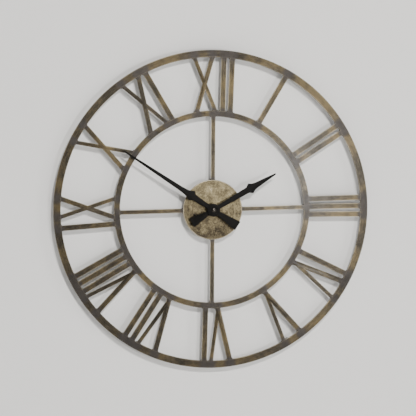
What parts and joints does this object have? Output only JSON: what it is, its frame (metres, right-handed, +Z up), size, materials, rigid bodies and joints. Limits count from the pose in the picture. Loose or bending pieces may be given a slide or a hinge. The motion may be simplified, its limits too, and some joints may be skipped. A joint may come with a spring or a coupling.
{
  "type": "wall clock",
  "caption": "Round open-frame wall clock: two flat metal rings joined by welded Roman numerals, spokes, a small dial disc, black hands and a quartz movement.",
  "frame": {"origin": "on the hands' axis, in the plane of the wall, at the middle of the movement's rear cover", "axes": "+Z up towards the XII, +Y into the wall, so the dial faces -Y, and +X to the right seen from the front"},
  "size_m": [0.4999, 0.0334, 0.5],
  "materials": {
    "frame_bronze": "antique bronze lacquer, brushed and rubbed light on the edges",
    "dial_bronze": "pale antique bronze, brushed in short strokes",
    "black_enamel": "satin black enamel",
    "bright_nickel": "nickel plate",
    "turned_brass": "turned, bright",
    "zinc_steel": "zinc plated",
    "copper_wire": "enamelled copper wire",
    "black_plastic": "fine moulded texture",
    "grey_plastic": "moulded, knurled edge",
    "natural_plastic": "unpainted moulding",
    "wheel_plastic": "white acetal",
    "green_laminate": "lacquered glass-fibre board",
    "cell_jacket": "printed metal jacket, plain bands",
    "black_rubber": "matte"
  },
  "bodies": {
    "frame": {"battery_cell": "cell_jacket", "circuit_board": "green_laminate", "circuit_chip": "black_plastic", "clamp_nut": "turned_brass", "coil_bobbin": "natural_plastic", "coil_winding": "copper_wire", "contact_negative": "bright_nickel", "contact_positive": "bright_nickel", "dial_disc": "dial_bronze", "flat_washer": "turned_brass", "hanger_bracket": "frame_bronze", "inner_ring": "frame_bronze", "middle_plate": "natural_plastic", "motor_stator": "zinc_steel", "movement_case": "black_plastic", "numeral_01": "frame_bronze", "numeral_02": "frame_bronze", "numeral_03": "frame_bronze", "numeral_04": "frame_bronze", "numeral_05": "frame_bronze", "numeral_06": "frame_bronze", "numeral_07": "frame_bronze", "numeral_08": "frame_bronze", "numeral_09": "frame_bronze", "numeral_10": "frame_bronze", "numeral_11": "frame_bronze", "numeral_12": "frame_bronze", "outer_ring": "frame_bronze", "plate_pillars": "natural_plastic", "plate_screws": "zinc_steel", "quartz_crystal": "bright_nickel", "rear_cover": "black_plastic", "rubber_gasket": "black_rubber", "spoke_bottom": "frame_bronze", "spoke_left": "frame_bronze", "spoke_right": "frame_bronze", "spoke_top": "frame_bronze", "stud_pads": "black_rubber", "threaded_bush": "turned_brass", "train_bridge": "natural_plastic", "wall_studs": "frame_bronze"},
    "minute_set": {"minute_arbor": "turned_brass", "clutch_spring": "zinc_steel", "minute_hand": "black_enamel", "hand_nut": "bright_nickel"},
    "hour_set": {"hour_wheel": "wheel_plastic", "hour_hand": "black_enamel"},
    "setting_set": {"motion_wheel": "wheel_plastic", "setting_knob": "grey_plastic"},
    "centre_drive": {"centre_wheel": "wheel_plastic"},
    "third_drive": {"third_wheel": "wheel_plastic"},
    "second_drive": {"second_wheel": "wheel_plastic"},
    "intermediate_drive": {"intermediate_wheel": "wheel_plastic"},
    "rotor_drive": {"motor_rotor": "zinc_steel"}
  },
  "joints": [
    {"name": "minute_turn", "type": "hinge", "parent": "frame", "child": "minute_set", "pos_m": [0, -0.02, 0], "axis": [0, 1, 0], "continuous": true},
    {"name": "hour_turn", "type": "hinge", "parent": "frame", "child": "hour_set", "pos_m": [0, -0.02, 0], "axis": [0, 1, 0], "continuous": true},
    {"name": "setting_turn", "type": "hinge", "parent": "frame", "child": "setting_set", "pos_m": [0.01034, -0.008, -0.00182], "axis": [0, 1, 0], "continuous": true},
    {"name": "second_turn", "type": "hinge", "parent": "frame", "child": "second_drive", "pos_m": [0, -0.008, 0], "axis": [0, 1, 0], "continuous": true},
    {"name": "third_turn", "type": "hinge", "parent": "frame", "child": "third_drive", "pos_m": [-0.00873, -0.009, 0.00504], "axis": [0, 1, 0], "continuous": true},
    {"name": "centre_turn", "type": "hinge", "parent": "frame", "child": "centre_drive", "pos_m": [0, -0.0118, 0], "axis": [0, 1, 0], "continuous": true},
    {"name": "intermediate_turn", "type": "hinge", "parent": "frame", "child": "intermediate_drive", "pos_m": [0.0036, -0.0065, 0.00624], "axis": [0, 1, 0], "continuous": true},
    {"name": "rotor_turn", "type": "hinge", "parent": "frame", "child": "rotor_drive", "pos_m": [0.0071, -0.007, 0.0123], "axis": [0, 1, 0], "continuous": true}
  ],
  "couplings": [
    {"joint": "hour_turn", "follows": "minute_turn", "ratio": 0.083333},
    {"joint": "setting_turn", "follows": "minute_turn", "ratio": -0.33333},
    {"joint": "third_turn", "follows": "second_turn", "ratio": -0.13333},
    {"joint": "centre_turn", "follows": "second_turn", "ratio": 0.016667},
    {"joint": "intermediate_turn", "follows": "second_turn", "ratio": -5},
    {"joint": "rotor_turn", "follows": "second_turn", "ratio": 30}
  ]
}
